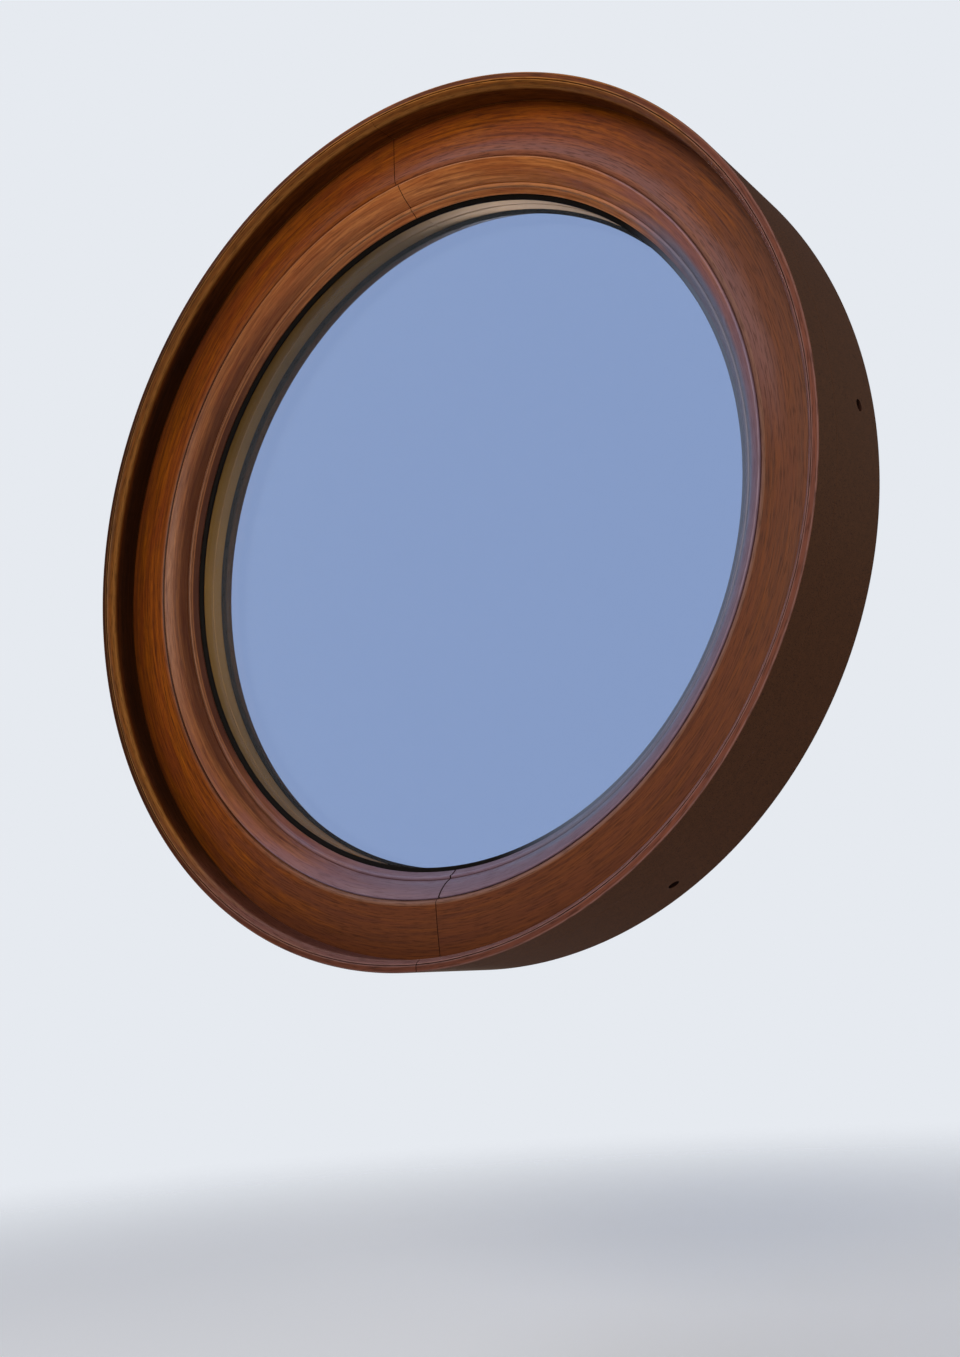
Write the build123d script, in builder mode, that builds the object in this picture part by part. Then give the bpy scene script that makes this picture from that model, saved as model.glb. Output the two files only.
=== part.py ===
from build123d import *
import os
from math import cos, degrees, radians, sin

# A fixed round window of stained hardwood, glazed from outside with a sealed double glazed unit.
# +X is to the right and +Z up, as seen from outside. +Y runs from outside into the room.
# The origin is on the window's axis, halfway through the depth of the frame's round outer edge.
# Each round section is drawn on the YZ plane as (y, radius) and turned about the Y axis.

os.makedirs("parts", exist_ok=True)

# Frame: two half rings of laminated hardwood
frame_radius = 323.0
frame_depth = 70.0
trim_width = 8.5
face_width = 40.3
rebate_height = 20.2
face_rise = 1.7
face_bulge = 0.35
arris_width = 4.2
quirk_depth = 2.4
room_nib = 3.0
room_ovolo_radius = 10.0
room_ovolo_fillet = 2.6
back_chamfer = 2.0
joint_gap = 0.6

# Glazing: a unit of two panes, bedded between two gaskets
pane_thickness = 4.0
cavity_width = 20.0
gasket_thickness = 2.4
room_gasket_thickness = 3.0
edge_clearance = 5.1
pane_arris = 0.5
gasket_proud = 3.4
gasket_depth = 9.0
bead_depth = 21.6

# Bead: the moulding that holds the glass from outside
bead_clearance = 0.2
bead_setback = 0.5
bead_arris_radius = 1.2
ovolo_depth = 13.4
ovolo_reach = 12.2
ovolo_bulge = 1.2
quirk_run = 1.4
quirk_rise = 0.4
fillet_depth = 2.6
fillet_reach = 3.0
bead_nose = 0.9
bead_joint_offset = 2.6
bead_top_gap = 0.6
bead_bottom_gap = 1.2

# Trim: the outer moulding that stands on the frame's face, with a round nose and a flat strip
trim_height = 26.5
trim_nose_width = 3.2
trim_nose_depth = 6.6
trim_nose_setback = 0.4
trim_quirk_width = 0.9
trim_quirk_depth = 1.5
trim_edge_chamfer = 0.6
trim_foot_chamfer = 0.9

# Spacer and seals inside the glazed unit
spacer_height = 7.5
spacer_wall = 0.5
spacer_shoulder = 2.0
spacer_groove_width = 1.4
spacer_groove_depth = 0.25
spacer_joint_angle = 88.1
spacer_joint_gap = 0.4
spacer_setback = 1.0
butyl_thickness = 0.4
key_length = 50.0
key_clearance = 0.1
desiccant_clearance = 0.1
desiccant_end_angle = 0.3
seal_clearance = 0.15

# Fixings and packers
dowel_diameter = 10.0
dowel_length = 60.0
dowel_clearance = 0.05
dowel_end_room = 1.0
dowel_chamfer = 1.0
dowel_front_inset = 20.0
dowel_back_inset = 15.0
pin_diameter = 1.6
pin_head_diameter = 2.6
pin_head_height = 1.0
pin_clearance = 0.02
bead_pin_cover = 0.8
trim_pin_cover = 1.0
bead_pin_length = 30.0
bead_pin_tilt = 22.0
bead_pin_count = 12
trim_pin_length = 40.0
trim_pin_count = 12
fixing_count = 6
fixing_hole_diameter = 8.0
fixing_head_diameter = 15.0
fixing_head_depth = 6.0
fixing_y = 6.0
block_length = 60.0
block_width = 26.0
block_clearance = 0.05
setting_block_angles = (248.0, 292.0)
location_block_angles = (15.0, 90.0, 165.0)

# Radii and depths that follow
half_depth = frame_depth / 2
trim_inner = frame_radius - trim_width
rebate_radius = trim_inner - face_width
sight_radius = rebate_radius - rebate_height
face_edge_y = -half_depth
face_inner_y = face_edge_y - face_rise
bead_radius = rebate_radius - bead_clearance
bead_front_y = face_inner_y + bead_setback
bead_back_y = bead_front_y + bead_depth
outer_pane_y = bead_back_y + gasket_thickness
cavity_y = outer_pane_y + pane_thickness
inner_pane_y = cavity_y + cavity_width
unit_back_y = inner_pane_y + pane_thickness
upstand_y = unit_back_y + room_gasket_thickness
glass_radius = rebate_radius - edge_clearance
spacer_inner = sight_radius - spacer_setback
spacer_outer = spacer_inner + spacer_height
spacer_front_y = cavity_y + butyl_thickness
spacer_back_y = inner_pane_y - butyl_thickness
mid_unit_y = (outer_pane_y + unit_back_y) / 2
section_mid = (rebate_radius + frame_radius) / 2


def ray_plane(angle, radius, y, tilt=0.0):
    """A plane on the circle at an angle from +X towards +Z, whose normal points outwards, tilted into the room."""
    outward = Vector(cos(radians(angle)), 0, sin(radians(angle)))
    normal = outward * cos(radians(tilt)) + Vector(0, sin(radians(tilt)), 0)
    return Plane(origin=outward * radius + Vector(0, y, 0), z_dir=normal)


def spread(count, first):
    """Evenly spaced angles round the ring."""
    return [first + 360 / count * k for k in range(count)]


def keep_side(side, offset, top_gap, bottom_gap, radius):
    """Cuts the part in progress down to one half of the ring, beside a joint that is upright or opens downwards."""
    sign = 1 if side == "right" else -1
    lean = sign * (top_gap - bottom_gap) / 2 / (2 * radius)
    middle = offset + sign * (top_gap + bottom_gap) / 4
    face = Plane(origin=(middle, 0, 0), x_dir=(0, 1, 0), z_dir=(1, 0, -lean))
    split(bisect_by=face, keep=Keep.TOP if side == "right" else Keep.BOTTOM)


def dowel_places():
    """Centres of the dowels, two in each joint."""
    depths = (-half_depth + dowel_front_inset, half_depth - dowel_back_inset)
    return [(0, y, end * section_mid) for end in (1, -1) for y in depths]


def pin_set(planes, length, slack=0.0):
    """Round pins with flat heads that start at the given planes. With slack they are the pockets for them."""
    with BuildPart() as pins:
        for plane in planes:
            with BuildSketch(plane):
                Circle(pin_head_diameter / 2 + slack)
            extrude(amount=pin_head_height)
            with BuildSketch(plane):
                Circle(pin_diameter / 2 + slack)
            extrude(amount=length + slack)
    return pins.part


def section_plane(angle):
    """The plane of a round section at an angle from +X towards +Z, with y along its x and the radius along its y."""
    return Plane(origin=(0, 0, 0), x_dir=(0, 1, 0), z_dir=(sin(radians(angle)), 0, -cos(radians(angle))))


def spacer_section(inset):
    """Corners of the spacer's section, drawn smaller all round by the inset."""
    front, rear = spacer_front_y + inset, spacer_back_y - inset
    low, high = spacer_inner + inset, spacer_outer - inset
    shoulder = spacer_shoulder - 0.6 * inset
    return [
        (front, low),
        (rear, low),
        (rear, high - shoulder),
        (rear - shoulder, high),
        (front + shoulder, high),
        (front, high - shoulder),
    ]


# Points of the bead's section that other pieces use
bead_arris = (bead_front_y, bead_radius - bead_arris_radius)
ovolo_end = (bead_arris[0] + ovolo_depth, bead_arris[1] - ovolo_reach)
bead_nose_radius = sight_radius + bead_nose / 4

bead_pin_y = (bead_arris[0] + ovolo_end[0]) / 2 - ovolo_bulge / 2
bead_pin_start = (bead_arris[1] + ovolo_end[1]) / 2
bead_pin_planes = [
    ray_plane(angle, bead_pin_start, bead_pin_y, bead_pin_tilt).offset(bead_pin_cover)
    for angle in spread(bead_pin_count, 360 / bead_pin_count / 2)
]

trim_front_y = face_edge_y - trim_height
trim_pin_radius = (trim_inner + trim_nose_width + trim_quirk_width + frame_radius) / 2
trim_pin_y = trim_front_y + trim_pin_cover
trim_pin_planes = []
for angle in spread(trim_pin_count, 360 / trim_pin_count / 2):
    place = (trim_pin_radius * cos(radians(angle)), trim_pin_y, trim_pin_radius * sin(radians(angle)))
    trim_pin_planes.append(Plane(origin=place, z_dir=(0, 1, 0)))

bead_pin_pockets = pin_set(bead_pin_planes, bead_pin_length, pin_clearance)
trim_pin_pockets = pin_set(trim_pin_planes, trim_pin_length, pin_clearance)

# Frame halves. The wide face rises gently from the trim to a rounded arris at the bead. Behind the glass the
# upstand has a rounded moulding that opens to the room.
for side in ("left", "right"):
    with BuildPart() as frame_half:
        with BuildSketch(Plane.YZ):
            with BuildLine():
                edge = Line((half_depth, frame_radius), (face_edge_y, frame_radius))
                land = Line(edge @ 1, (face_edge_y, trim_inner))
                arris_start = (face_inner_y, rebate_radius + arris_width)
                face_middle = (
                    (face_edge_y + face_inner_y) / 2 - face_bulge,
                    (trim_inner + arris_start[1]) / 2,
                )
                face = ThreePointArc(land @ 1, face_middle, arris_start)
                arris_middle = (face_inner_y + quirk_depth * 0.28, rebate_radius + arris_width * 0.33)
                arris = ThreePointArc(face @ 1, arris_middle, (face_inner_y + quirk_depth, rebate_radius))
                rebate = Line(arris @ 1, (upstand_y, rebate_radius))
                upstand = Line(rebate @ 1, (upstand_y, sight_radius))
                nib = Line(upstand @ 1, (upstand_y + room_nib, sight_radius))
                ovolo = RadiusArc(
                    nib @ 1,
                    (upstand_y + room_nib + room_ovolo_radius, sight_radius + room_ovolo_radius),
                    -room_ovolo_radius,
                )
                fillet_step = Line(ovolo @ 1, (ovolo @ 1) + Vector(0, room_ovolo_fillet))
                fillet_rise = Line(fillet_step @ 1, (half_depth, (fillet_step @ 1).Y))
                back = Line(fillet_rise @ 1, edge @ 0)
            make_face()
        revolve(axis=Axis.Y)
        back_edge = frame_half.edges().filter_by(GeomType.CIRCLE).group_by(Axis.Y)[-1].sort_by(SortBy.RADIUS)[-1]
        chamfer(back_edge, back_chamfer)
        for place in dowel_places():
            with BuildSketch(Plane(origin=place, z_dir=(1, 0, 0))):
                Circle(dowel_diameter / 2 + dowel_clearance)
            extrude(amount=dowel_length / 2 + dowel_end_room, both=True, mode=Mode.SUBTRACT)
        for angle in spread(fixing_count, 0):
            with BuildSketch(ray_plane(angle, rebate_radius - 1, fixing_y)):
                Circle(fixing_head_diameter / 2)
            extrude(amount=fixing_head_depth + 1, mode=Mode.SUBTRACT)
            with BuildSketch(ray_plane(angle, rebate_radius, fixing_y)):
                Circle(fixing_hole_diameter / 2)
            extrude(amount=frame_radius - rebate_radius + 1, mode=Mode.SUBTRACT)
        add(bead_pin_pockets, mode=Mode.SUBTRACT)
        add(trim_pin_pockets, mode=Mode.SUBTRACT)
        keep_side(side, 0, joint_gap, joint_gap, frame_radius)
    frame_half.part.label = f"frame_{side}"
    export_step(frame_half.part, f"parts/frame_{side}.step")

# Beech dowels, glued across the top and bottom joints
with BuildPart() as frame_dowels:
    for place in dowel_places():
        with BuildSketch(Plane(origin=place, z_dir=(1, 0, 0))):
            Circle(dowel_diameter / 2)
        extrude(amount=dowel_length / 2, both=True)
    chamfer(frame_dowels.edges().filter_by(GeomType.CIRCLE), dowel_chamfer)
frame_dowels.part.label = "frame_dowels"
export_step(frame_dowels.part, "parts/frame_dowels.step")

# Trim halves: a round nose that drops to the wide face, a fine quirk, and a flat strip against the wall
for side in ("left", "right"):
    with BuildPart() as trim_half:
        with BuildSketch(Plane.YZ):
            with BuildLine():
                crest = (trim_front_y + trim_nose_setback, trim_inner + trim_nose_width)
                foot = Line((face_edge_y, frame_radius), (face_edge_y, trim_inner + trim_foot_chamfer))
                foot_bevel = Line(foot @ 1, (face_edge_y - trim_foot_chamfer, trim_inner))
                wall = Line(foot_bevel @ 1, (trim_front_y + trim_nose_depth, trim_inner))
                nose = TangentArc(wall @ 1, crest, tangent=wall % 1)
                quirk = Line(nose @ 1, (trim_front_y + trim_quirk_depth, crest[1] + trim_quirk_width / 3))
                quirk_out = Line(quirk @ 1, (trim_front_y, crest[1] + trim_quirk_width))
                strip = Line(quirk_out @ 1, (trim_front_y, frame_radius - trim_edge_chamfer))
                strip_bevel = Line(strip @ 1, (trim_front_y + trim_edge_chamfer, frame_radius))
                outside = Line(strip_bevel @ 1, foot @ 0)
            make_face()
        revolve(axis=Axis.Y)
        add(trim_pin_pockets, mode=Mode.SUBTRACT)
        keep_side(side, 0, joint_gap, joint_gap, frame_radius)
    trim_half.part.label = f"trim_{side}"
    export_step(trim_half.part, f"parts/trim_{side}.step")

# Bead halves: an ovolo, a thin rounded fillet below it, and a nose that meets the gasket
for side in ("left", "right"):
    with BuildPart() as bead_half:
        with BuildSketch(Plane.YZ):
            with BuildLine():
                wall = Line((bead_back_y, bead_radius), (bead_front_y + bead_arris_radius, bead_radius))
                arris = RadiusArc(wall @ 1, bead_arris, -bead_arris_radius)
                ovolo_middle = (
                    (bead_arris[0] + ovolo_end[0]) / 2 - ovolo_bulge * cos(radians(45)),
                    (bead_arris[1] + ovolo_end[1]) / 2 - ovolo_bulge * sin(radians(45)),
                )
                ovolo = ThreePointArc(bead_arris, ovolo_middle, ovolo_end)
                quirk = Line(ovolo @ 1, (ovolo_end[0] + quirk_run, ovolo_end[1] - quirk_rise))
                fillet_line = ThreePointArc(
                    quirk @ 1,
                    (ovolo_end[0] + fillet_depth * 0.36, ovolo_end[1] - fillet_reach * 0.68),
                    (ovolo_end[0] + fillet_depth, ovolo_end[1] - fillet_reach),
                )
                slope = Line(fillet_line @ 1, (bead_back_y - bead_nose, sight_radius))
                nose = Line(slope @ 1, (bead_back_y, bead_nose_radius))
                back = Line(nose @ 1, wall @ 0)
            make_face()
        revolve(axis=Axis.Y)
        add(bead_pin_pockets, mode=Mode.SUBTRACT)
        keep_side(side, bead_joint_offset, bead_top_gap, bead_bottom_gap, bead_radius)
    bead_half.part.label = f"bead_{side}"
    export_step(bead_half.part, f"parts/bead_{side}.step")

# Pins, punched under the surface and stopped
with BuildPart() as bead_pins:
    add(pin_set(bead_pin_planes, bead_pin_length))
bead_pins.part.label = "bead_pins"
export_step(bead_pins.part, "parts/bead_pins.step")

with BuildPart() as trim_pins:
    add(pin_set(trim_pin_planes, trim_pin_length))
trim_pins.part.label = "trim_pins"
export_step(trim_pins.part, "parts/trim_pins.step")

# Gaskets. Each shows as a thin black lip inside the sight line, against the glass.
lip_radius = sight_radius - gasket_proud
with BuildPart() as outer_gasket:
    with BuildSketch(Plane.YZ):
        with BuildLine():
            Polyline(
                (bead_back_y, sight_radius + gasket_depth),
                (bead_back_y, bead_nose_radius),
                (bead_back_y + gasket_thickness / 2, lip_radius + 0.5),
                (outer_pane_y - 0.3, lip_radius),
                (outer_pane_y, lip_radius),
                (outer_pane_y, sight_radius + gasket_depth),
                close=True,
            )
        make_face()
    revolve(axis=Axis.Y)
outer_gasket.part.label = "outer_gasket"
export_step(outer_gasket.part, "parts/outer_gasket.step")

with BuildPart() as room_gasket:
    with BuildSketch(Plane.YZ):
        with BuildLine():
            Polyline(
                (upstand_y, sight_radius + gasket_depth),
                (upstand_y, sight_radius),
                (upstand_y - room_gasket_thickness / 2, lip_radius + 0.5),
                (unit_back_y + 0.3, lip_radius),
                (unit_back_y, lip_radius),
                (unit_back_y, sight_radius + gasket_depth),
                close=True,
            )
        make_face()
    revolve(axis=Axis.Y)
room_gasket.part.label = "room_gasket"
export_step(room_gasket.part, "parts/room_gasket.step")

# Panes of float glass with ground edges
for name, y in (("outer_pane", outer_pane_y), ("inner_pane", inner_pane_y)):
    with BuildPart() as pane:
        with BuildSketch(Plane.XZ.offset(-y)):
            Circle(glass_radius)
        extrude(amount=-pane_thickness)
        chamfer(pane.edges().filter_by(GeomType.CIRCLE), pane_arris)
    pane.part.label = name
    export_step(pane.part, f"parts/{name}.step")


# Spacer: a hollow anodised bar bent to a ring, with a fine line along the middle of its sight face
gap_angle = degrees(spacer_joint_gap / spacer_outer)
with BuildPart() as spacer_bar:
    with BuildSketch(section_plane(spacer_joint_angle - gap_angle / 2)):
        with BuildLine():
            Polyline(*spacer_section(0), close=True)
        make_face()
        with BuildLine():
            Polyline(*spacer_section(spacer_wall), close=True)
        make_face(mode=Mode.SUBTRACT)
        with Locations((mid_unit_y, spacer_inner)):
            Rectangle(spacer_groove_width, 2 * spacer_groove_depth, mode=Mode.SUBTRACT)
    revolve(axis=Axis.Y, revolution_arc=360 - gap_angle)
spacer_bar.part.label = "spacer_bar"
export_step(spacer_bar.part, "parts/spacer_bar.step")

# Connector that joins the two ends of the spacer from inside
key_angle = degrees(key_length / (spacer_inner + spacer_height / 2))
with BuildPart() as spacer_key:
    with BuildSketch(section_plane(spacer_joint_angle + key_angle / 2)):
        with BuildLine():
            Polyline(*spacer_section(spacer_wall + key_clearance), close=True)
        make_face()
    revolve(axis=Axis.Y, revolution_arc=key_angle)
spacer_key.part.label = "spacer_key"
export_step(spacer_key.part, "parts/spacer_key.step")

# Drying beads that fill the rest of the hollow bar
with BuildPart() as desiccant:
    with BuildSketch(section_plane(spacer_joint_angle - key_angle / 2 - desiccant_end_angle)):
        with BuildLine():
            Polyline(*spacer_section(spacer_wall + desiccant_clearance), close=True)
        make_face()
    revolve(axis=Axis.Y, revolution_arc=360 - key_angle - 2 * desiccant_end_angle)
desiccant.part.label = "desiccant"
export_step(desiccant.part, "parts/desiccant.step")

# Butyl lines between the spacer's sides and the panes
with BuildPart() as butyl_seals:
    for front in (cavity_y, spacer_back_y):
        with BuildSketch(Plane.XZ.offset(-front)):
            Circle(spacer_outer - spacer_shoulder)
            Circle(spacer_inner + spacer_setback, mode=Mode.SUBTRACT)
        extrude(amount=-butyl_thickness)
butyl_seals.part.label = "butyl_seals"
export_step(butyl_seals.part, "parts/butyl_seals.step")

# Edge seal: the sealant that fills the channel behind the spacer
with BuildPart() as edge_seal:
    with BuildSketch(Plane.YZ):
        with BuildLine():
            Polyline(
                (cavity_y, spacer_outer - spacer_shoulder + seal_clearance),
                (spacer_front_y, spacer_outer - spacer_shoulder + seal_clearance),
                (spacer_front_y + spacer_shoulder, spacer_outer + seal_clearance),
                (spacer_back_y - spacer_shoulder, spacer_outer + seal_clearance),
                (spacer_back_y, spacer_outer - spacer_shoulder + seal_clearance),
                (inner_pane_y, spacer_outer - spacer_shoulder + seal_clearance),
                (inner_pane_y, glass_radius),
                (cavity_y, glass_radius),
                close=True,
            )
        make_face()
    revolve(axis=Axis.Y)
edge_seal.part.label = "edge_seal"
export_step(edge_seal.part, "parts/edge_seal.step")


# Setting blocks carry the unit below, and location blocks hold it central
block_angle = degrees(block_length / rebate_radius)
for name, angles in (("setting_blocks", setting_block_angles), ("location_blocks", location_block_angles)):
    with BuildPart() as blocks:
        for angle in angles:
            with BuildSketch(section_plane(angle + block_angle / 2)):
                with Locations((mid_unit_y, (glass_radius + rebate_radius) / 2)):
                    Rectangle(block_width, edge_clearance - 2 * block_clearance)
            revolve(axis=Axis.Y, revolution_arc=block_angle)
    blocks.part.label = name
    export_step(blocks.part, f"parts/{name}.step")
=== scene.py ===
import bmesh
import bpy
from math import atan2, cos, hypot, pi, radians, sin, tan
from mathutils import Matrix, Vector


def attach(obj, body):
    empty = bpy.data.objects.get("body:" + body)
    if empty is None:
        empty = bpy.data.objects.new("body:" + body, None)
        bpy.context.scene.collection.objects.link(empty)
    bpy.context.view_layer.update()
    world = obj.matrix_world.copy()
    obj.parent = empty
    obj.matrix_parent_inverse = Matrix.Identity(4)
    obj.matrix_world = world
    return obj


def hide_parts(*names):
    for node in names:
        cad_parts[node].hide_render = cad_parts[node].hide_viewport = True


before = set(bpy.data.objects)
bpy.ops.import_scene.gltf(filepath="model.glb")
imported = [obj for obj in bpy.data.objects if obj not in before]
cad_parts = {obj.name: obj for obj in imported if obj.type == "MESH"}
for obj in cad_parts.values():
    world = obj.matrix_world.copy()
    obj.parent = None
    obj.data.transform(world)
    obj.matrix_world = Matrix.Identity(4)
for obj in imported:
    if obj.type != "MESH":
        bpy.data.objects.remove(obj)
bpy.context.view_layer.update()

# Camera. It stands low and to the right of the window, in front of it, and looks up to the left. Its lens
# is 37 mm for a picture 36 mm high, of 960 by 1357 pixels.
camera_data = bpy.data.cameras.new("camera")
camera_data.sensor_fit = "VERTICAL"
camera_data.sensor_height = 36
camera_data.lens = 36.82
camera = bpy.data.objects.new("camera", camera_data)
bpy.context.scene.collection.objects.link(camera)
right = Vector((0.79807, 0.59914, -0.06425)).normalized()
forward = Vector((-0.57305, 0.78760, 0.22651)).normalized()
up = right.cross(forward).normalized()
right = forward.cross(up).normalized()
standpoint = Matrix.Translation((0.5972, -0.7888, -0.3448))
camera.matrix_world = standpoint @ Matrix((right, up, -forward)).transposed().to_4x4()
bpy.context.scene.camera = camera

# Stage. A matt pale floor lies below the window and fades into a plain pale background. Four soft lamps
# light it: the main one in front on the right, a weaker one high on the left, and two behind it that light
# the spacer and the room side through the glass, one large on the right and one small and low on the left.


def linear(text):
    """The linear colour of an sRGB hex value."""
    parts = [int(text[k:k + 2], 16) / 255 for k in (1, 3, 5)]
    return tuple(c / 12.92 if c <= 0.04045 else ((c + 0.055) / 1.055) ** 2.4 for c in parts) + (1.0,)


def add(tree, kind, links=None, **settings):
    """Adds a node with its settings. A socket takes a value, a socket, a node's first output or a list."""
    made = tree.nodes.new(kind)
    for name, value in settings.items():
        setattr(made, name, value)
    for socket, value in (links or {}).items():
        for source in value if isinstance(value, list) else [value]:
            if isinstance(source, bpy.types.Node):
                source = source.outputs[0]
            if isinstance(source, bpy.types.NodeSocket):
                tree.links.new(source, made.inputs[socket])
            else:
                made.inputs[socket].default_value = source
    return made


def new_material(name):
    """An empty material and its tree."""
    material = bpy.data.materials.new(name)
    material.use_nodes = True
    material.node_tree.nodes.clear()
    return material, material.node_tree


floor_z = -0.62
floor_corners = ((-5, -5), (5, -5), (5, 5), (-5, 5))
floor_mesh = bpy.data.meshes.new("floor")
floor_mesh.from_pydata([(x, y, floor_z) for x, y in floor_corners], [], [(0, 1, 2, 3)])
floor = bpy.data.objects.new("floor", floor_mesh)
bpy.context.scene.collection.objects.link(floor)
floor_material, tree = new_material("matt pale floor paint")
body = add(tree, "ShaderNodeTexCoord").outputs["Object"]
away = add(tree, "ShaderNodeVectorMath", {0: body, 1: (1.0, 1.0, 0.0)}, operation="MULTIPLY")
away = add(tree, "ShaderNodeVectorMath", {0: away}, operation="LENGTH").outputs["Value"]
fade = add(tree, "ShaderNodeMapRange", {
    "Value": away, "From Min": 0.7, "From Max": 2.0,
}, interpolation_type="SMOOTHSTEP")
paint = add(tree, "ShaderNodeBsdfPrincipled", {
    "Base Color": linear("#e8ebef"), "Roughness": 0.9, "Specular IOR Level": 0.1,
})
rays = add(tree, "ShaderNodeLightPath").outputs
lift = add(tree, "ShaderNodeEmission", {"Color": linear("#e6eaf0"), "Strength": 0.16})
lifted = add(tree, "ShaderNodeAddShader", {0: paint, 1: lift})
seen = add(tree, "ShaderNodeMath", {
    0: rays["Is Camera Ray"], 1: rays["Is Transmission Ray"],
}, operation="MAXIMUM")
ground = add(tree, "ShaderNodeMixShader", {0: seen, 1: paint, 2: lifted})
clear = add(tree, "ShaderNodeBsdfTransparent")
faded = add(tree, "ShaderNodeMixShader", {0: fade, 1: ground, 2: clear})
add(tree, "ShaderNodeOutputMaterial", {"Surface": faded})
floor_mesh.materials.append(floor_material)

world = bpy.data.worlds.new("studio")
bpy.context.scene.world = world
world.use_nodes = True
tree = world.node_tree
tree.nodes.clear()
rays = add(tree, "ShaderNodeLightPath").outputs
seen = add(tree, "ShaderNodeMath", {
    0: rays["Is Camera Ray"], 1: rays["Is Transmission Ray"],
}, operation="MAXIMUM")
looked = add(tree, "ShaderNodeTexCoord").outputs["Generated"]
height = add(tree, "ShaderNodeSeparateXYZ", {0: looked}).outputs["Z"]
share = add(tree, "ShaderNodeMapRange", {"Value": height, "From Min": -0.5, "From Max": 0.7})
fill = add(tree, "ShaderNodeMix", {0: share, 6: linear("#b5a494"), 7: linear("#d0daec")}, data_type="RGBA")
light_fill = add(tree, "ShaderNodeBackground", {"Color": fill.outputs[2], "Strength": 0.32})
light_seen = add(tree, "ShaderNodeBackground", {"Color": linear("#e6eaf0"), "Strength": 1.0})
both = add(tree, "ShaderNodeMixShader", {0: seen, 1: light_fill, 2: light_seen})
add(tree, "ShaderNodeOutputWorld", {"Surface": both})
bpy.context.scene.view_settings.view_transform = "Standard"


def soft_lamp(name, place, aim, size, power, colour, spread=180):
    """A square lamp that looks at a point. The camera doesn't see it, directly or through the glass."""
    data = bpy.data.lights.new(name, "AREA")
    data.shape = "SQUARE"
    data.size = size
    data.energy = power
    data.color = linear(colour)[:3]
    data.spread = radians(spread)
    lamp = bpy.data.objects.new(name, data)
    lamp.visible_camera = False
    lamp.visible_transmission = False
    lamp.location = place
    lamp.rotation_euler = (Vector(aim) - Vector(place)).to_track_quat("-Z", "Y").to_euler()
    bpy.context.scene.collection.objects.link(lamp)


soft_lamp("lamp_front", (0.75, -2.8, 0.7), (0, 0, 0), 1.6, 74, "#fff4e6")
soft_lamp("lamp_high_left", (-1.6, -1.6, 2.6), (0, 0, 0), 1.4, 21, "#eef2ff")
soft_lamp("lamp_room_side", (2.0, 2.3, 0.8), (0, 0, 0), 1.2, 18, "#fff0dc")
soft_lamp("lamp_room_low", (-2.0, 2.3, -0.3), (0, 0, 0.2), 0.5, 1.6, "#fff2dc", 36)

# Frame halves. Each is half a ring of laminated sapele, 70 mm deep, moulded, stained orange-brown and
# varnished. The halves meet at the top and bottom, where dowels hold them. Fixings go out through six
# counterbored holes in the rebate.
mm = 0.001
frame_radius = 323.0
rebate_radius = 274.2
sight_radius = 254.0
half_depth = 35.0
face_inner_y = -36.7
face_inner_radius = 278.4
trim_inner = 314.5
upstand_y = 18.8
room_lip_y = 21.8
room_ovolo_y = 31.8
room_ovolo_radius = 264.0
room_step_radius = 266.6
back_chamfer = 2.0


def bow(start, middle, end, steps):
    """Points of the arc from the start through the middle to the end, without the start."""
    (ax, ay), (bx, by), (cx, cy) = start, middle, end
    a2, b2, c2 = ax * ax + ay * ay, bx * bx + by * by, cx * cx + cy * cy
    d = 2 * (ax * (by - cy) + bx * (cy - ay) + cx * (ay - by))
    ux = (a2 * (by - cy) + b2 * (cy - ay) + c2 * (ay - by)) / d
    uy = (a2 * (cx - bx) + b2 * (ax - cx) + c2 * (bx - ax)) / d
    radius = hypot(ax - ux, ay - uy)
    first, mid, last = (atan2(y - uy, x - ux) for x, y in (start, middle, end))
    mid = (mid - first) % (2 * pi)
    last = (last - first) % (2 * pi)
    if mid > last:
        last -= 2 * pi
    return [
        (ux + radius * cos(first + last * k / steps), uy + radius * sin(first + last * k / steps))
        for k in range(1, steps + 1)
    ]


def eased(corners, ease):
    """A closed section whose sharp corners are rubbed round, as sanding leaves them."""
    least_turn = radians(24)
    most_reach = 0.42
    points = []
    for k, corner in enumerate(corners):
        here = Vector(corner)
        back = Vector(corners[k - 1]) - here
        ahead = Vector(corners[(k + 1) % len(corners)]) - here
        turn = pi - back.angle(ahead)
        if turn < least_turn:
            points.append(here)
            continue
        reach = min(ease * tan(turn / 2), most_reach * back.length, most_reach * ahead.length)
        start, end = here + back.normalized() * reach, here + ahead.normalized() * reach
        for t in (0, 0.25, 0.5, 0.75, 1):
            points.append(start * (1 - t) ** 2 + here * (2 * t * (1 - t)) + end * t ** 2)
    return points


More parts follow.
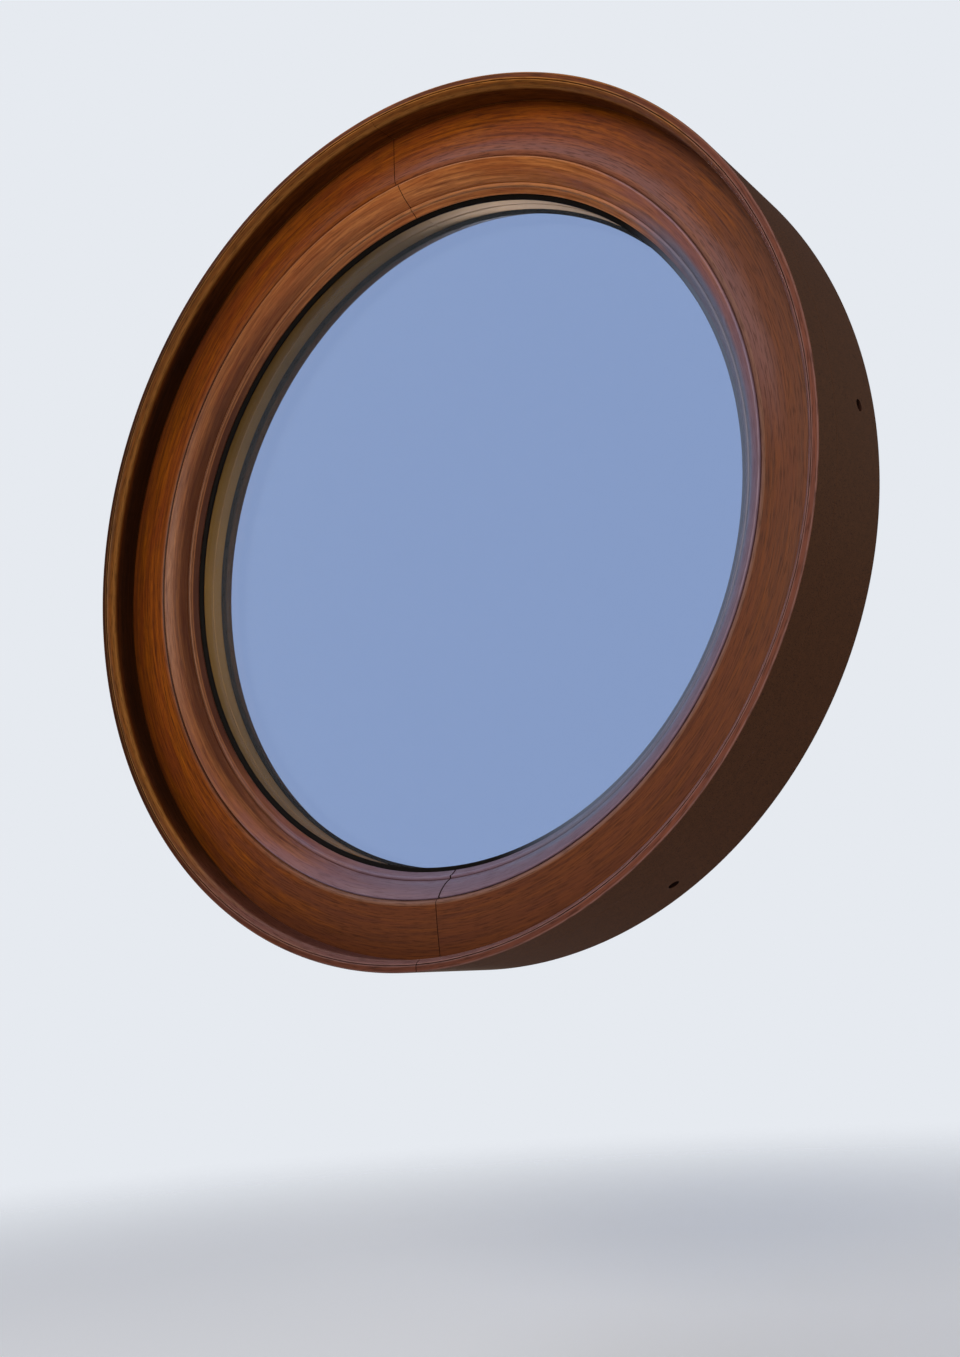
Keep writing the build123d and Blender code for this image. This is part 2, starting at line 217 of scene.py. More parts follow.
def section_mesh(name, corners, ease=0.35, longest=4.0, tone=lambda y, r: 0.0):
    """A section as one face, with its radius in z. Each point carries three marks: the way round the
    section, how sharply it turns there, which is below 0 in a hollow, and a tone, which is above 0 where the
    piece is rubbed and gets a painted highlight and below 0 where it gets painted shade."""
    points = []
    rubbed = eased(corners, ease)
    for k, here in enumerate(rubbed):
        step = rubbed[(k + 1) % len(rubbed)] - here
        count = max(1, int(step.length / longest) + 1)
        stops = [j / count for j in range(count)]
        # a long flat gets a point near each end, so that what its corners carry stays there
        if step.length > 2.4:
            stops = sorted(set(stops + [0.7 / step.length, 1 - 0.7 / step.length]))
        points += [here + step * t for t in stops]
    total = len(points)
    area = sum(points[k - 1].cross(points[k]) for k in range(total))
    turns = []
    for k in range(total):
        back, ahead = points[k] - points[k - 1], points[(k + 1) % total] - points[k]
        bend = atan2(back.cross(ahead), back.dot(ahead)) * (1 if area > 0 else -1)
        # 1 stands for a radius of 1.2 mm or less
        turns.append(max(-1.0, min(1.0, 2.4 * bend / (back.length + ahead.length))))
    points.append(points[0])
    turns.append(turns[0])
    mesh = bpy.data.meshes.new(name)
    mesh.from_pydata([(0, p.x * mm, p.y * mm) for p in points], [], [tuple(range(len(points)))])
    way = 0.0
    marks = []
    for k, p in enumerate(points):
        way += (p - points[k - 1]).length * mm if k else 0.0
        marks += [way, turns[k], tone(p.x, p.y)]
    mesh.attributes.new("marks", "FLOAT_VECTOR", "POINT").data.foreach_set("vector", marks)
    return mesh


def new_tree(name, sockets):
    """An empty tree with the named inputs and one output, and its inputs."""
    tree = bpy.data.node_groups.new(name, "GeometryNodeTree")
    for socket_name, kind, value in sockets:
        socket = tree.interface.new_socket(name=socket_name, in_out="INPUT", socket_type=kind)
        if value is not None:
            socket.default_value = value
    tree.interface.new_socket(name="Ring", in_out="OUTPUT", socket_type="NodeSocketGeometry")
    return tree, add(tree, "NodeGroupInput").outputs


def end_tree(tree, ring, sharp_angle):
    """Ends a tree: edges that bend more than the angle stay sharp."""
    limit = add(tree, "ShaderNodeMath", {0: sharp_angle}, operation="RADIANS")
    bend = add(tree, "GeometryNodeInputMeshEdgeAngle")
    sharp = add(tree, "FunctionNodeCompare", {
        0: bend, 1: limit,
    }, data_type="FLOAT", operation="GREATER_THAN")
    ring = add(tree, "GeometryNodeSetShadeSmooth", {
        "Geometry": ring, "Selection": sharp, "Shade Smooth": False,
    }, domain="EDGE")
    ring = add(tree, "GeometryNodeRealizeInstances", {0: ring})
    add(tree, "NodeGroupOutput", {0: ring})


def sweep_tree():
    """Turns a section about the window's axis. The tree's sizes are in metres and degrees."""
    tree, given = new_tree("sweep a section round the window", (
        ("Section", "NodeSocketGeometry", None),
        ("Start Angle", "NodeSocketFloat", -90.0),
        ("End Angle", "NodeSocketFloat", 90.0),
        ("Segments", "NodeSocketInt", 240),
        ("Joint Top", "NodeSocketFloat", -1.0),
        ("Joint Bottom", "NodeSocketFloat", -1.0),
        ("Left Half", "NodeSocketBool", False),
        ("End Faces", "NodeSocketBool", True),
        ("Map Radius", "NodeSocketFloat", 0.3),
        ("Sharp Angle", "NodeSocketFloat", 32.0),
        ("Outer Side Radius", "NodeSocketFloat", 1.0),
        ("Material", "NodeSocketMaterial", None),
        ("End Material", "NodeSocketMaterial", None),
        ("Outer Side Material", "NodeSocketMaterial", None),
    ))
    section, place = given["Section"], add(tree, "GeometryNodeInputPosition")
    points = add(tree, "GeometryNodeAttributeDomainSize", {
        0: section,
    }, component="MESH").outputs["Point Count"]
    # a grid gets a column for each step round the axis, with a point for each point of the section
    columns = add(tree, "ShaderNodeMath", {0: given["Segments"], 1: 1.0}, operation="ADD")
    grid = add(tree, "GeometryNodeMeshGrid", {"Vertices X": columns, "Vertices Y": points})
    index = add(tree, "GeometryNodeInputIndex")
    column = add(tree, "FunctionNodeIntegerMath", {0: index, 1: points}, operation="DIVIDE_FLOOR")
    row = add(tree, "FunctionNodeIntegerMath", {0: index, 1: points}, operation="MODULO")
    at_row = add(tree, "GeometryNodeSampleIndex", {
        "Geometry": section, "Value": place, "Index": row,
    }, data_type="FLOAT_VECTOR")
    marks = add(tree, "GeometryNodeInputNamedAttribute", {"Name": "marks"}, data_type="FLOAT_VECTOR")
    marks = add(tree, "GeometryNodeSampleIndex", {
        "Geometry": section, "Value": marks, "Index": row,
    }, data_type="FLOAT_VECTOR")
    way_row = add(tree, "ShaderNodeSeparateXYZ", {0: marks}).outputs["X"]
    share = add(tree, "ShaderNodeMath", {0: column, 1: given["Segments"]}, operation="DIVIDE")
    start = add(tree, "ShaderNodeMath", {0: given["Start Angle"]}, operation="RADIANS")
    end = add(tree, "ShaderNodeMath", {0: given["End Angle"]}, operation="RADIANS")
    angle = add(tree, "ShaderNodeMapRange", {"Value": share, "To Min": start, "To Max": end}, clamp=False)

    def turned(point, turn):
        """The point of a section, carried round to an angle and cut back to the joint's face."""
        parts = add(tree, "ShaderNodeSeparateXYZ", {0: point}).outputs
        across = add(tree, "ShaderNodeMath", {0: turn}, operation="COSINE")
        sky_reflection = add(tree, "ShaderNodeMath", {0: turn}, operation="SINE")
        x = add(tree, "ShaderNodeMath", {0: parts["Z"], 1: across}, operation="MULTIPLY")
        z = add(tree, "ShaderNodeMath", {0: parts["Z"], 1: sky_reflection}, operation="MULTIPLY")
        # the top joint holds from 0.26 m above the axis, the bottom joint from 0.26 m below it
        face = add(tree, "ShaderNodeMapRange", {
            "Value": z, "From Min": -0.26, "From Max": 0.26,
            "To Min": given["Joint Bottom"], "To Max": given["Joint Top"],
        })
        high = add(tree, "ShaderNodeMath", {0: x, 1: face}, operation="MAXIMUM")
        low = add(tree, "ShaderNodeMath", {0: x, 1: face}, operation="MINIMUM")
        kept = add(tree, "GeometryNodeSwitch", {0: given["Left Half"], 1: high, 2: low}, input_type="FLOAT")
        return add(tree, "ShaderNodeCombineXYZ", {0: kept, 1: parts["Y"], 2: z})

    # the map is in metres: along the ring, and round the section
    along = add(tree, "ShaderNodeMath", {0: angle, 1: given["Map Radius"]}, operation="MULTIPLY")
    flat = add(tree, "ShaderNodeCombineXYZ", {0: along, 1: way_row})
    skin = add(tree, "GeometryNodeStoreNamedAttribute", {
        "Geometry": grid, "Name": "place on ring", "Value": flat,
    }, data_type="FLOAT_VECTOR", domain="POINT")
    skin = add(tree, "GeometryNodeStoreNamedAttribute", {
        "Geometry": skin, "Name": "marks", "Value": marks,
    }, data_type="FLOAT_VECTOR", domain="POINT")
    skin = add(tree, "GeometryNodeSetPosition", {"Geometry": skin, "Position": turned(at_row, angle)})
    # the section itself closes the ends, and its map is its own shape
    ends = []
    for turn, flip in ((start, False), (end, True)):
        parts = add(tree, "ShaderNodeSeparateXYZ", {0: place}).outputs
        flat = add(tree, "ShaderNodeCombineXYZ", {0: parts["Z"], 1: parts["Y"]})
        cap = add(tree, "GeometryNodeStoreNamedAttribute", {
            "Geometry": section, "Name": "place on ring", "Value": flat,
        }, data_type="FLOAT_VECTOR", domain="POINT")
        cap = add(tree, "GeometryNodeSetPosition", {"Geometry": cap, "Position": turned(place, turn)})
        ends.append(add(tree, "GeometryNodeFlipFaces", {0: cap}) if flip else cap)
    caps = add(tree, "GeometryNodeJoinGeometry", {0: ends})
    caps = add(tree, "GeometryNodeSetMaterial", {"Geometry": caps, "Material": given["End Material"]})
    caps = add(tree, "GeometryNodeSwitch", {0: given["End Faces"], 2: caps}, input_type="GEOMETRY")
    skin = add(tree, "GeometryNodeSetMaterial", {"Geometry": skin, "Material": given["Material"]})
    flat = add(tree, "ShaderNodeVectorMath", {0: place, 1: (1.0, 0.0, 1.0)}, operation="MULTIPLY")
    radius = add(tree, "ShaderNodeVectorMath", {0: flat}, operation="LENGTH").outputs["Value"]
    beyond = add(tree, "FunctionNodeCompare", {
        0: radius, 1: given["Outer Side Radius"],
    }, data_type="FLOAT", operation="GREATER_THAN")
    skin = add(tree, "GeometryNodeSetMaterial", {
        "Geometry": skin, "Selection": beyond, "Material": given["Outer Side Material"],
    })
    whole = add(tree, "GeometryNodeJoinGeometry", {0: [skin, caps]})
    # the map and the marks go to the face corners, which keep them when the holes are cut
    flat = add(tree, "GeometryNodeInputNamedAttribute", {"Name": "place on ring"}, data_type="FLOAT_VECTOR")
    whole = add(tree, "GeometryNodeStoreNamedAttribute", {
        "Geometry": whole, "Name": "ring", "Value": flat,
    }, data_type="FLOAT2", domain="CORNER")
    marks = add(tree, "GeometryNodeInputNamedAttribute", {"Name": "marks"}, data_type="FLOAT_VECTOR")
    whole = add(tree, "GeometryNodeStoreNamedAttribute", {
        "Geometry": whole, "Name": "marks", "Value": marks,
    }, data_type="FLOAT_VECTOR", domain="CORNER")
    whole = add(tree, "GeometryNodeMergeByDistance", {"Geometry": whole, "Distance": 2e-6})
    whole = add(tree, "GeometryNodeSetShadeSmooth", {"Geometry": whole, "Shade Smooth": True}, domain="FACE")
    end_tree(tree, whole, given["Sharp Angle"])
    return tree


def grow(obj, tree, values):
    """Puts a tree on an object as a modifier, with its inputs by their identifiers."""
    modifier = obj.modifiers.new(tree.name, "NODES")
    modifier.node_group = tree
    for item in tree.interface.items_tree:
        if item.item_type == "SOCKET" and item.in_out == "INPUT" and item.name in values:
            modifier[item.identifier] = values[item.name]


def made_plain(obj, *nodes, slot):
    """Turns what the trees made into a plain mesh with normals outwards, which stands for its CAD nodes."""
    seen_now = bpy.context.evaluated_depsgraph_get()
    mesh = bpy.data.meshes.new_from_object(
        obj.evaluated_get(seen_now), preserve_all_data_layers=True, depsgraph=seen_now,
    )
    obj.modifiers.clear()
    obj.data = mesh
    mesh.name = obj.name
    work = bmesh.new()
    work.from_mesh(mesh)
    bmesh.ops.recalc_face_normals(work, faces=work.faces)
    work.to_mesh(mesh)
    work.free()
    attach(obj, "root")
    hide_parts(*nodes)


def swept(name, mesh, material, **values):
    """An object that sweeps a section. Words in the values name the tree's inputs."""
    obj = bpy.data.objects.new(name, mesh)
    bpy.context.scene.collection.objects.link(obj)
    given = {"Material": material, "End Material": material, "Outer Side Material": material}
    grow(obj, sweep, {**given, **{k.replace("_", " ").title(): v for k, v in values.items()}})
    return obj


def varnished_sapele(
    name, pale, deep, red, pore, rubbed, weathered_and_sheen, rubbed_highlight_weathered, sky_reflection_colour, gloss, shine=0.1, grain=0.54,
    least_shade=0.2, sky_reflection_share=0.0, grey_reflection_share=0.0,
):
    """Stained and varnished sapele. Long streaks of growth and fine dark pores run round the ring, and the
    stain took more in patches. Edges are rubbed paler and carry a painted highlight, and hollows get painted
    shade, most of it on the left. The lower right is weathered and carries a painted mauve sheen of the sky.
    A painted grey-blue sky reflection lies where the satin coat faces up to the left, and on the inner part
    of the upper right. A painted grey reflection lies on the right, where the glass begins."""
    material, tree = new_material(name)
    ring = add(tree, "ShaderNodeUVMap", uv_map="ring")
    body = add(tree, "ShaderNodeTexCoord").outputs["Object"]
    # growth streaks are 70 mm long and 2.5 mm wide
    streak = add(tree, "ShaderNodeMapping", {"Vector": ring, "Scale": (1 / 0.070, 1 / 0.0025, 1)})
    streak = add(tree, "ShaderNodeTexNoise", {
        "Vector": streak, "Scale": 1.0, "Detail": 4.0, "Roughness": 0.65, "Distortion": 0.5,
    })
    streak = add(tree, "ShaderNodeMapRange", {"Value": streak, "From Min": 0.32, "From Max": 0.66})
    # pores are 14 mm long and 0.9 mm wide, drawn coarser than real ones so that they show
    pores = add(tree, "ShaderNodeMapping", {"Vector": ring, "Scale": (1 / 0.014, 1 / 0.0009, 1)})
    pores = add(tree, "ShaderNodeTexNoise", {"Vector": pores, "Scale": 1.0, "Detail": 2.0, "Roughness": 0.6})
    pores = add(tree, "ShaderNodeMapRange", {"Value": pores, "From Min": 0.49, "From Max": 0.66})
    # the ribbon figure is 90 mm long and 14 mm wide
    patch = add(tree, "ShaderNodeMapping", {"Vector": ring, "Scale": (1 / 0.090, 1 / 0.014, 1)})
    patch = add(tree, "ShaderNodeTexNoise", {
        "Vector": patch, "Scale": 1.0, "Detail": 5.0, "Roughness": 0.62, "Distortion": 0.4,
    })
    patch = add(tree, "ShaderNodeMapRange", {"Value": patch, "From Min": 0.36, "From Max": 0.66})
    marks = add(tree, "ShaderNodeAttribute", attribute_name="marks").outputs["Vector"]
    marks = add(tree, "ShaderNodeSeparateXYZ", {0: marks}).outputs
    edge, tone = marks["Y"], marks["Z"]
    # convex edges, and places where the tone is above 0, are rubbed paler and carry a painted highlight
    wear_and_highlight = add(tree, "ShaderNodeMapRange", {"Value": edge, "From Min": 0.03, "From Max": 0.6})
    # painted shade in the hollows
    hollow_shade = add(tree, "ShaderNodeMapRange", {"Value": edge, "From Min": -0.05, "From Max": -0.6})
    # weathering and a painted mauve sky sheen grow to the lower right over 0.3 m, broken up by the patches
    low_right = add(tree, "ShaderNodeVectorMath", {
        0: body, 1: (2.5, 0.0, -2.5),
    }, operation="DOT_PRODUCT").outputs["Value"]
    low_right = add(tree, "ShaderNodeMath", {0: patch, 1: 0.4, 2: low_right}, operation="MULTIPLY_ADD")
    weather_and_sheen = add(tree, "ShaderNodeMapRange", {
        "Value": low_right, "From Min": -0.12, "From Max": 0.7,
    }, interpolation_type="SMOOTHSTEP")
    normal = add(tree, "ShaderNodeNewGeometry").outputs["Normal"]
    # a painted grey-blue reflection of the sky lies where the surface faces up to the left
    sky_reflection = add(tree, "ShaderNodeVectorMath", {
        0: normal, 1: (-0.6, -0.3, 0.74),
    }, operation="DOT_PRODUCT").outputs["Value"]
    sky_reflection = add(tree, "ShaderNodeMapRange", {
        "Value": sky_reflection, "From Min": 0.3, "From Max": 0.8,
    }, interpolation_type="SMOOTHSTEP")
    # painted sky reflection also lies on the inner upper right, 20 mm wide at the top and wider at the right
    spot = add(tree, "ShaderNodeSeparateXYZ", {0: body}).outputs
    flat = add(tree, "ShaderNodeVectorMath", {0: body, 1: (1.0, 0.0, 1.0)}, operation="MULTIPLY")
    radius = add(tree, "ShaderNodeVectorMath", {0: flat}, operation="LENGTH").outputs["Value"]
    limit = add(tree, "ShaderNodeMath", {0: spot["X"], 1: 0.03, 2: 0.2845}, operation="MULTIPLY_ADD")
    within = add(tree, "ShaderNodeMath", {0: limit, 1: radius}, operation="SUBTRACT")
    within = add(tree, "ShaderNodeMath", {0: patch, 1: 0.004, 2: within}, operation="MULTIPLY_ADD")
    within = add(tree, "ShaderNodeMapRange", {
        "Value": within, "From Max": 0.012,
    }, interpolation_type="SMOOTHSTEP")
    beside = add(tree, "ShaderNodeMath", {0: spot["X"], 1: spot["Z"]}, operation="ADD")
    beside = add(tree, "ShaderNodeMapRange", {
        "Value": beside, "From Min": 0.24, "From Max": 0.34, "To Max": sky_reflection_share,
    }, interpolation_type="SMOOTHSTEP")
    within = add(tree, "ShaderNodeMath", {0: within, 1: beside}, operation="MULTIPLY")
    sky_reflection = add(tree, "ShaderNodeMath", {0: sky_reflection, 1: within}, operation="MAXIMUM")
    away = add(tree, "ShaderNodeMath", {0: 1.0, 1: sky_reflection}, operation="SUBTRACT")
    # painted shade: darker where the tone is below 0, at least the least share everywhere, less under the
    # painted sky reflection
    painted_shade = add(tree, "ShaderNodeMapRange", {
        "Value": tone, "From Min": 0.0, "From Max": -1.0, "To Min": least_shade,
    })
    painted_shade = add(tree, "ShaderNodeMath", {0: painted_shade, 1: away}, operation="MULTIPLY")
    # the painted shade is strongest on the left
    left_shade = add(tree, "ShaderNodeVectorMath", {
        0: body, 1: (-3.2, 0.0, -1.2),
    }, operation="DOT_PRODUCT").outputs["Value"]
    left_shade = add(tree, "ShaderNodeMapRange", {"Value": left_shade, "From Min": -0.35, "From Max": 0.5, "To Min": 0.05})
    painted_shade = add(tree, "ShaderNodeMath", {0: painted_shade, 1: left_shade}, operation="MULTIPLY")
    # the painted shade is lighter on the weathered lower right
    shade_lightened_by_weather = add(tree, "ShaderNodeMapRange", {
        "Value": weather_and_sheen, "From Max": 0.8, "To Min": 1.0, "To Max": 0.45,
    })
    painted_shade = add(tree, "ShaderNodeMath", {0: painted_shade, 1: shade_lightened_by_weather}, operation="MULTIPLY")
    wear_and_highlight = add(tree, "ShaderNodeMath", {0: wear_and_highlight, 1: tone}, operation="MAXIMUM")
    # a painted grey reflection lies on the right of the bead, on the last 12 mm before the glass
    right_side = add(tree, "ShaderNodeVectorMath", {
        0: body, 1: (1.0, 0.0, -0.35),
    }, operation="DOT_PRODUCT").outputs["Value"]
    grey_reflection = add(tree, "ShaderNodeMapRange", {
        "Value": right_side, "From Min": 0.12, "From Max": 0.2, "To Max": grey_reflection_share,
    }, interpolation_type="SMOOTHSTEP")
    inward = add(tree, "ShaderNodeMapRange", {
        "Value": radius, "From Min": 0.2675, "From Max": 0.2635,
    }, interpolation_type="SMOOTHSTEP")
    grey_reflection = add(tree, "ShaderNodeMath", {0: grey_reflection, 1: inward}, operation="MULTIPLY")
    # the rubbed edges' painted highlight turns mauve on the weathered lower right, a painted sky sheen
    rubbed_highlight_colour = add(tree, "ShaderNodeMix", {
        0: weather_and_sheen, 6: linear(rubbed), 7: linear(rubbed_highlight_weathered),
    }, data_type="RGBA").outputs[2]
    colour = linear(deep)
    for share, most, over in (
        (streak, 1.0, linear(pale)),
        (patch, 0.6, linear(red)),
        (weather_and_sheen, 0.7, linear(weathered_and_sheen)),
        (sky_reflection, 0.75, linear(sky_reflection_colour)),
        (wear_and_highlight, 0.85, rubbed_highlight_colour),
        (hollow_shade, 0.85, linear(pore)),
        (pores, grain, linear(pore)),
        (painted_shade, 0.95, linear(pore)),
        (grey_reflection, 1.0, linear("#5a6478")),
    ):
        share = add(tree, "ShaderNodeMath", {0: share, 1: most}, operation="MULTIPLY")
        colour = add(tree, "ShaderNodeMix", {0: share, 6: colour, 7: over}, data_type="RGBA").outputs[2]
    rough = add(tree, "ShaderNodeMapRange", {"Value": patch, "To Min": gloss, "To Max": gloss + 0.1})
    rough = add(tree, "ShaderNodeMath", {0: pores, 1: 0.12, 2: rough}, operation="MULTIPLY_ADD")
    relief = add(tree, "ShaderNodeMath", {0: pores, 1: -1.0, 2: streak}, operation="MULTIPLY_ADD")
    relief = add(tree, "ShaderNodeBump", {"Height": relief, "Strength": 0.3, "Distance": 0.0001})
    shader = add(tree, "ShaderNodeBsdfPrincipled", {
        "Base Color": colour, "Roughness": rough, "Normal": relief, "IOR": 1.5, "Specular IOR Level": shine,
    })
    add(tree, "ShaderNodeOutputMaterial", {"Surface": shader})
    return material


def dull_wood(name, low, high, pore):
    """Wood without varnish: a mottle of 5 mm and specks of open pores, matt."""
    material, tree = new_material(name)
    body = add(tree, "ShaderNodeTexCoord").outputs["Object"]
    mottle = add(tree, "ShaderNodeTexNoise", {
        "Vector": body, "Scale": 1 / 0.005, "Detail": 4.0, "Roughness": 0.6,
    })
    specks = add(tree, "ShaderNodeTexNoise", {"Vector": body, "Scale": 1 / 0.0007, "Detail": 1.0})
    specks = add(tree, "ShaderNodeMapRange", {"Value": specks, "From Min": 0.55, "From Max": 0.7})
    colour = add(tree, "ShaderNodeMix", {
        0: mottle, 6: linear(low), 7: linear(high),
    }, data_type="RGBA").outputs[2]
    colour = add(tree, "ShaderNodeMix", {0: specks, 6: colour, 7: linear(pore)}, data_type="RGBA").outputs[2]
    relief = add(tree, "ShaderNodeBump", {
        "Height": specks, "Strength": 0.3, "Distance": 0.0001,
    }, invert=True)
    shader = add(tree, "ShaderNodeBsdfPrincipled", {
        "Base Color": colour, "Roughness": 0.8, "Normal": relief, "IOR": 1.5, "Specular IOR Level": 0.12,
    })
    add(tree, "ShaderNodeOutputMaterial", {"Surface": shader})
    return material


def holes_tree():
    """Cuts the counterbored fixing holes, which point away from the window's axis. Across is their place in
    the depth of the ring. The sizes are in metres."""
    tree, given = new_tree("cut fixing holes", (
        ("Ring", "NodeSocketGeometry", None),
        ("Count", "NodeSocketInt", 6),
        ("Hole Radius", "NodeSocketFloat", 0.004),
        ("Head Radius", "NodeSocketFloat", 0.0075),
        ("Head Depth", "NodeSocketFloat", 0.006),
        ("Across", "NodeSocketFloat", 0.006),
        ("Inner Radius", "NodeSocketFloat", 0.2742),
        ("Outer Radius", "NodeSocketFloat", 0.323),
        ("Sharp Angle", "NodeSocketFloat", 32.0),
        ("Hole Material", "NodeSocketMaterial", None),
    ))
    # the shank reaches 2 mm past the ring on both sides, and half of the head's cylinder is in the wood
    tall = add(tree, "ShaderNodeMath", {
        0: given["Outer Radius"], 1: given["Inner Radius"],
    }, operation="SUBTRACT")
    tall = add(tree, "ShaderNodeMath", {0: tall, 1: 0.004}, operation="ADD")
    middle = add(tree, "ShaderNodeMath", {
        0: given["Outer Radius"], 1: given["Inner Radius"],
    }, operation="ADD")
    middle = add(tree, "ShaderNodeMath", {0: middle, 1: 0.5}, operation="MULTIPLY")
    shank = add(tree, "GeometryNodeMeshCylinder", {
        "Vertices": 40, "Radius": given["Hole Radius"], "Depth": tall,
    })
    middle = add(tree, "ShaderNodeCombineXYZ", {2: middle})
    shank = add(tree, "GeometryNodeTransform", {"Geometry": shank, "Translation": middle})
    twice = add(tree, "ShaderNodeMath", {0: given["Head Depth"], 1: 2.0}, operation="MULTIPLY")
    head = add(tree, "GeometryNodeMeshCylinder", {
        "Vertices": 40, "Radius": given["Head Radius"], "Depth": twice,
    })
    low = add(tree, "ShaderNodeCombineXYZ", {2: given["Inner Radius"]})
    head = add(tree, "GeometryNodeTransform", {"Geometry": head, "Translation": low})
    drill = add(tree, "GeometryNodeMeshBoolean", {
        "Mesh 2": [shank, head],
    }, operation="UNION", solver="EXACT")
    across = add(tree, "ShaderNodeCombineXYZ", {1: given["Across"]})
    spots = add(tree, "GeometryNodePoints", {"Count": given["Count"], "Position": across})
    index = add(tree, "GeometryNodeInputIndex")
    turn = add(tree, "ShaderNodeMath", {0: index, 1: given["Count"]}, operation="DIVIDE")
    turn = add(tree, "ShaderNodeMath", {0: turn, 1: 2 * pi}, operation="MULTIPLY")
    turn = add(tree, "ShaderNodeMath", {0: turn, 1: pi / 2}, operation="ADD")
    lean = add(tree, "FunctionNodeAxisAngleToRotation", {"Axis": (0.0, 1.0, 0.0), "Angle": turn})
    drills = add(tree, "GeometryNodeInstanceOnPoints", {
        "Points": spots, "Instance": drill, "Rotation": lean,
    })
    drills = add(tree, "GeometryNodeRealizeInstances", {0: drills})
    drills = add(tree, "GeometryNodeSetMaterial", {"Geometry": drills, "Material": given["Hole Material"]})
    cut = add(tree, "GeometryNodeMeshBoolean", {
        "Mesh 1": given["Ring"], "Mesh 2": drills,
    }, operation="DIFFERENCE", solver="EXACT")
    end_tree(tree, cut, given["Sharp Angle"])
    return tree


sweep = sweep_tree()
holes = holes_tree()
frame_sapele = varnished_sapele(
    "varnished sapele of the frame", pale="#904c06", deep="#461e00", red="#6a2806", pore="#2c1002",
    rubbed="#84481e", weathered_and_sheen="#523022", rubbed_highlight_weathered="#80604e", sky_reflection_colour="#785a5c", gloss=0.36,
    shine=0.16, least_shade=0.1, sky_reflection_share=0.65,
)
sawn_end = dull_wood("sawn end grain of sapele", "#24110a", "#351a10", "#120805")
outer_side = dull_wood("stained back of sapele", "#4a2c18", "#5c3820", "#2a160c")
# painted shade lies where the arris meets the bead, and grows from the middle of the face to the trim
face_arc = bow((-half_depth, trim_inner), (-36.2, 296.45), (face_inner_y, face_inner_radius), 12)
arris_arc = bow((face_inner_y, face_inner_radius), (-36.028, 275.586), (-34.3, rebate_radius), 8)
ovolo_arc = bow((room_lip_y, sight_radius), (28.871, 256.929), (room_ovolo_y, room_ovolo_radius), 12)
frame_section = section_mesh("frame section", [
    (half_depth - back_chamfer, frame_radius), (-half_depth, frame_radius), (-half_depth, trim_inner),
    *face_arc, *arris_arc, (upstand_y, rebate_radius), (upstand_y, sight_radius), (room_lip_y, sight_radius),
    *ovolo_arc, (room_ovolo_y, room_step_radius), (half_depth, room_step_radius),
    (half_depth, frame_radius - back_chamfer),
], tone=lambda y, r: 0.0 if y > -34 else -1.0 if r < 275.7 else (290 - r) / 34 if r > 290 else 0.0)
joint_gap = 0.6
# seen from outside, the right half runs from the bottom to the top, and the left half from there on
for side, start, end, sign in (("right", -90, 90, 1), ("left", 90, 270, -1)):
    half = swept(
        f"frame_{side}_half", frame_section, frame_sapele, start_angle=start, end_angle=end,
        joint_top=sign * joint_gap / 2 * mm, joint_bottom=sign * joint_gap / 2 * mm, left_half=sign < 0,
        map_radius=0.296, outer_side_radius=(frame_radius - 0.1) * mm, end_material=sawn_end,
        outer_side_material=outer_side,
    )
    grow(half, holes, {"Count": 6, "Hole Material": sawn_end})
    made_plain(half, f"frame_{side}", slot="frame_wood")

# Dowels. Four turned beech dowels, two at each joint, are glued across the joints of the frame. The wood
# hides them. Beech is pale and plain, with a fine mottle.


def plain_material(name, low, high, size, rough, metallic=0.0):
    """A finish with a slight mottle of the given size."""
    material, tree = new_material(name)
    body = add(tree, "ShaderNodeTexCoord").outputs["Object"]
    mottle = add(tree, "ShaderNodeTexNoise", {"Vector": body, "Scale": 1 / size, "Detail": 3.0})
    colour = add(tree, "ShaderNodeMix", {0: mottle, 6: linear(low), 7: linear(high)}, data_type="RGBA")
    uneven = add(tree, "ShaderNodeMapRange", {
        "Value": mottle, "To Min": rough - 0.06, "To Max": rough + 0.06,
    })
    relief = add(tree, "ShaderNodeBump", {"Height": mottle, "Strength": 0.2, "Distance": 0.0001})
    shader = add(tree, "ShaderNodeBsdfPrincipled", {
        "Base Color": colour.outputs[2], "Roughness": uneven, "Metallic": metallic, "Normal": relief,
    })
    add(tree, "ShaderNodeOutputMaterial", {"Surface": shader})
    return material


def finish_nodes(names, material):
    """Gives CAD nodes a material."""
    for name in names:
        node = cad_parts[name]
        node.data.materials.clear()
        node.data.materials.append(material)


finish_nodes(["frame_dowels"], plain_material("turned beech", "#b8946a", "#cfae84", 0.004, 0.6))

# Spacer. A hollow bar of champagne anodised aluminium keeps the panes apart. It is bent to a ring and
# joined near the top. A fine pressed line runs along the middle of the face that shows. The finish is
# satin, with rolling lines.
spacer_inner = 253.0
spacer_outer = 260.5
spacer_front_y = -7.8
spacer_back_y = 11.4
mid_unit_y = 1.8
pressed_half_width = 0.7
pressed_radius = spacer_inner + 0.25
spacer_chamfer = 2
anodised, tree = new_material("champagne anodised aluminium")
ring = add(tree, "ShaderNodeUVMap", uv_map="ring")
